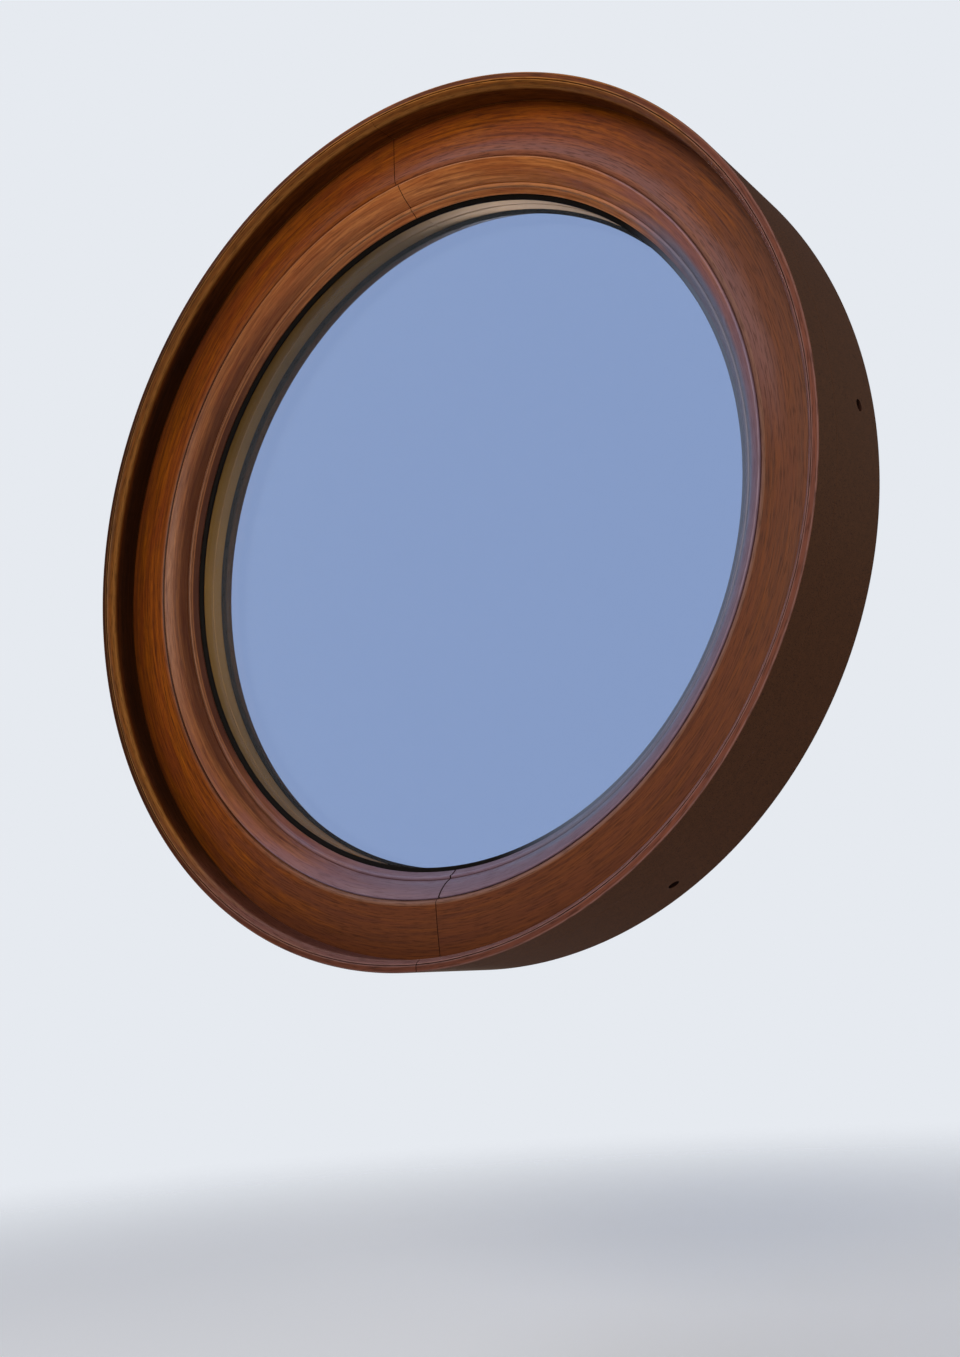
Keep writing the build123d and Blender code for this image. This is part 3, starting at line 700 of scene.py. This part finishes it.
# rolling lines are 60 mm long and 0.5 mm wide, drawn coarser than real ones so that they show
lines = add(tree, "ShaderNodeMapping", {"Vector": ring, "Scale": (1 / 0.060, 1 / 0.0005, 1)})
lines = add(tree, "ShaderNodeTexNoise", {"Vector": lines, "Scale": 1.0, "Detail": 2.0})
colour = add(tree, "ShaderNodeMix", {0: lines, 6: linear("#7c521c"), 7: linear("#a07238")}, data_type="RGBA")
rough = add(tree, "ShaderNodeMapRange", {"Value": lines, "To Min": 0.42, "To Max": 0.58})
shader = add(tree, "ShaderNodeBsdfPrincipled", {
    "Base Color": colour.outputs[2], "Metallic": 1.0, "Roughness": rough,
})
add(tree, "ShaderNodeOutputMaterial", {"Surface": shader})
spacer_section = section_mesh("spacer section", [
    (spacer_front_y, spacer_inner),
    (mid_unit_y - pressed_half_width, spacer_inner), (mid_unit_y - pressed_half_width, pressed_radius),
    (mid_unit_y + pressed_half_width, pressed_radius), (mid_unit_y + pressed_half_width, spacer_inner),
    (spacer_back_y, spacer_inner), (spacer_back_y, spacer_outer - spacer_chamfer),
    (spacer_back_y - spacer_chamfer, spacer_outer), (spacer_front_y + spacer_chamfer, spacer_outer),
    (spacer_front_y, spacer_outer - spacer_chamfer),
], ease=0.2)
# the ends stand 0.4 mm apart, and half of that is 0.044 degrees
spacer_joint_angle = 88.1
half_gap_angle = 0.044
spacer = swept(
    "spacer_ring", spacer_section, anodised, start_angle=spacer_joint_angle + half_gap_angle,
    end_angle=spacer_joint_angle + 360 - half_gap_angle, segments=480, map_radius=0.253,
)
made_plain(spacer, "spacer_bar", slot="spacer")

# Inside the unit. A nylon key joins the spacer's ends, drying beads fill it, butyl seals its sides to the
# panes and polysulphide fills the channel behind it. The nylon is dark grey, the beads pale and matt. Both
# seals are black rubber, spread by machine, the butyl smoother than the polysulphide.
finish_nodes(["spacer_key"], plain_material("moulded nylon", "#3a3a3c", "#454548", 0.004, 0.5))
finish_nodes(["desiccant"], plain_material("molecular sieve beads", "#b8a88c", "#d6c8ae", 0.0012, 0.85))
finish_nodes(["butyl_seals"], plain_material("butyl rubber", "#0c0c0d", "#1a1a1b", 0.005, 0.45))
finish_nodes(["edge_seal"], plain_material("polysulphide sealant", "#161617", "#232324", 0.006, 0.6))

# Panes. Two 4 mm panes of float glass with ground edges make one sealed unit. The outer is clear, the
# inner blue, and both mirror sharply. Lamps shine through them, so that the spacer and the room side are
# lit as through glass.
for name, node, tint, lit in (
    ("clear float glass", "outer_pane", "#f0f4f6", "#f0f3f6"),
    ("blue-tinted float glass", "inner_pane", "#9cb0da", "#c8d4ea"),
):
    glass, tree = new_material(name)
    pane_shader = add(tree, "ShaderNodeBsdfPrincipled", {
        "Base Color": linear(tint), "Roughness": 0.0, "IOR": 1.52, "Transmission Weight": 1.0,
        "Specular Tint": linear("#84888e"),
    })
    clear = add(tree, "ShaderNodeBsdfTransparent", {"Color": linear(lit)})
    lamp_ray = add(tree, "ShaderNodeLightPath").outputs["Is Shadow Ray"]
    both = add(tree, "ShaderNodeMixShader", {0: lamp_ray, 1: pane_shader, 2: clear})
    add(tree, "ShaderNodeOutputMaterial", {"Surface": both})
    finish_nodes([node], glass)

# Gaskets. Two rings of black EPDM rubber press on the glass, one from outside and one from the room. Only
# a narrow lip of each shows past the wood. The rubber is moulded, matt and slightly dusty.
rubber, tree = new_material("moulded EPDM rubber")
body = add(tree, "ShaderNodeTexCoord").outputs["Object"]
# dust lies in clouds of 12 mm
dust = add(tree, "ShaderNodeTexNoise", {"Vector": body, "Scale": 1 / 0.012, "Detail": 4.0, "Roughness": 0.6})
dust = add(tree, "ShaderNodeMapRange", {"Value": dust, "From Min": 0.5, "From Max": 0.85, "To Max": 0.35})
colour = add(tree, "ShaderNodeMix", {0: dust, 6: linear("#0a0705"), 7: linear("#181310")}, data_type="RGBA")
# on the right, a painted grey reflection lies over the rubber
grey_reflection_on_rubber = add(tree, "ShaderNodeVectorMath", {
    0: body, 1: (1.0, 0.0, -0.35),
}, operation="DOT_PRODUCT").outputs["Value"]
grey_reflection_on_rubber = add(tree, "ShaderNodeMapRange", {
    "Value": grey_reflection_on_rubber, "From Min": 0.12, "From Max": 0.2, "To Max": 0.9,
}, interpolation_type="SMOOTHSTEP")
colour = add(tree, "ShaderNodeMix", {0: grey_reflection_on_rubber, 6: colour.outputs[2], 7: linear("#5a6478")}, data_type="RGBA")
shader = add(tree, "ShaderNodeBsdfPrincipled", {
    "Base Color": colour.outputs[2], "Roughness": 0.65, "IOR": 1.5, "Specular IOR Level": 0.06,
})
add(tree, "ShaderNodeOutputMaterial", {"Surface": shader})
lip_radius = 250.6
gasket_radius = 263.0
unit_front_y = -12.2
unit_back_y = 15.8
bead_back_y = -14.6
bead_back_radius = 254.225
outer_gasket_section = section_mesh("outer gasket section", [
    (bead_back_y, gasket_radius), (bead_back_y, bead_back_radius), (-13.4, lip_radius + 0.5),
    (-12.5, lip_radius), (unit_front_y, lip_radius), (unit_front_y, gasket_radius),
], ease=0.15)
room_gasket_section = section_mesh("room gasket section", [
    (upstand_y, gasket_radius), (upstand_y, sight_radius), (17.3, lip_radius + 0.5),
    (16.1, lip_radius), (unit_back_y, lip_radius), (unit_back_y, gasket_radius),
], ease=0.15)
for name, mesh, node in (
    ("gasket_outside", outer_gasket_section, "outer_gasket"),
    ("gasket_room_side", room_gasket_section, "room_gasket"),
):
    ring = swept(
        name, mesh, rubber, start_angle=0, end_angle=360, segments=360, end_faces=False, map_radius=0.254,
    )
    made_plain(ring, node, slot="gasket")

# Packers. Two setting blocks below the unit and four location blocks at its sides and top keep it off the
# wood. They are moulded in blue polypropylene, which has a dull gloss, and pushed into place.
polypropylene = plain_material("moulded polypropylene", "#1f4680", "#2a5596", 0.006, 0.45)
finish_nodes(["setting_blocks", "location_blocks"], polypropylene)

# Bead halves. The sapele glazing bead holds the glass from outside. Its ovolo falls to a thin rounded
# fillet and a slope down to the glass. It is pinned to the frame, and its ends meet a little to the right
# of the frame's joint.
bead_front_y = -36.2
bead_radius = 274.0
bead_sapele = varnished_sapele(
    "varnished sapele of the bead", pale="#c67e44", deep="#703816", red="#904616", pore="#321206",
    rubbed="#a86e44", weathered_and_sheen="#6a4e5c", rubbed_highlight_weathered="#746478", sky_reflection_colour="#605a70", gloss=0.32,
    shine=0.24, grain=0.34, least_shade=0.58, grey_reflection_share=0.75,
)
# painted shade beside the frame, at the ovolo's foot and before the glass; a painted highlight on the rubbed
# fillet
bead_arris_radius = 272.8
fillet_foot = (-21.4, 260.2)
bead_arris = bow((-35.0, bead_radius), (-35.849, 273.649), (bead_front_y, bead_arris_radius), 6)
bead_ovolo = bow((bead_front_y, bead_arris_radius), (-30.349, 265.851), (-22.8, 260.6), 14)
bead_fillet = bow(fillet_foot, (-21.864, 258.56), (-20.2, 257.6), 8)
bead_section = section_mesh("bead section", [
    (bead_back_y, bead_radius), (-35.0, bead_radius), *bead_arris, *bead_ovolo, fillet_foot, *bead_fillet,
    (-15.5, sight_radius), (bead_back_y, bead_back_radius),
], ease=0.25, longest=1.5, tone=lambda y, r: (
    -1.0 if r > 273.7 else 0.0 if r > 266.2 else -0.45 if r > 263.5 else -0.8 if r > 258.3 else
    1.0 if r > 256.7 else -1.0
))
# the joints stand 2.6 mm to the right of the frame's
bead_joint = 2.6
bead_top_gap = 0.6
bead_bottom_gap = 1.2
for side, start, end, sign in (("right", -89.4, 89.4, 1), ("left", 89.4, 270.6, -1)):
    half = swept(
        f"bead_{side}_half", bead_section, bead_sapele, start_angle=start, end_angle=end,
        joint_top=(bead_joint + sign * bead_top_gap / 2) * mm,
        joint_bottom=(bead_joint + sign * bead_bottom_gap / 2) * mm, left_half=sign < 0, map_radius=0.265,
        end_material=sawn_end,
    )
    made_plain(half, f"bead_{side}", slot="bead_wood")

# Trim halves. A separate sapele moulding stands on the frame's face along its edge: a round nose, a fine
# quirk and a flat strip. It is pinned through the strip, darker than the frame and varnished with it.
trim_front_y = -61.5
foot_radius = 315.4
trim_sapele = varnished_sapele(
    "varnished sapele of the trim", pale="#763c0a", deep="#3c1a04", red="#4c2006", pore="#160802",
    rubbed="#b87c3c", weathered_and_sheen="#6a3f36", rubbed_highlight_weathered="#84625c", sky_reflection_colour="#5e4246", gloss=0.42,
)
# a painted highlight runs along the rubbed nose, and painted shade lies in the quirk, on the strip and down
# the wall
crest = (-61.1, 317.7)
quirk = (-60.0, 318.0)
nose_arc = bow((-54.9, trim_inner), (-58.389, 315.347), crest, 10)
trim_section = section_mesh("trim section", [
    (-half_depth, frame_radius), (-half_depth, foot_radius), (-35.9, trim_inner), (-54.9, trim_inner),
    *nose_arc, quirk, (trim_front_y, 318.6), (trim_front_y, 322.4), (-60.9, frame_radius),
], ease=0.3, tone=lambda y, r: (
    -0.7 if r > 318.5 else -0.8 if r > 317.8 else
    max(-0.88, 1.0 - (y + 56) / 3.2 if y > -56 else 1.0 + (y + 56) / 3.5)
))
trim_top_gap = 0.2
for side, start, end, sign in (("right", -90, 90, 1), ("left", 90, 270, -1)):
    half = swept(
        f"trim_{side}_half", trim_section, trim_sapele, start_angle=start, end_angle=end,
        joint_top=sign * trim_top_gap / 2 * mm, joint_bottom=sign * joint_gap / 2 * mm, left_half=sign < 0,
        map_radius=0.318, outer_side_radius=(frame_radius - 0.1) * mm, end_material=sawn_end,
        outer_side_material=outer_side,
    )
    made_plain(half, f"trim_{side}", slot="trim_wood")

# Pins. Twelve pins are driven through the bead and twelve through the trim, then punched under and
# stopped. They are cut from drawn steel wire, smooth and bright.
steel_wire = plain_material("bright steel wire", "#9a9a9c", "#b4b4b6", 0.002, 0.3, 1.0)
finish_nodes(["bead_pins", "trim_pins"], steel_wire)
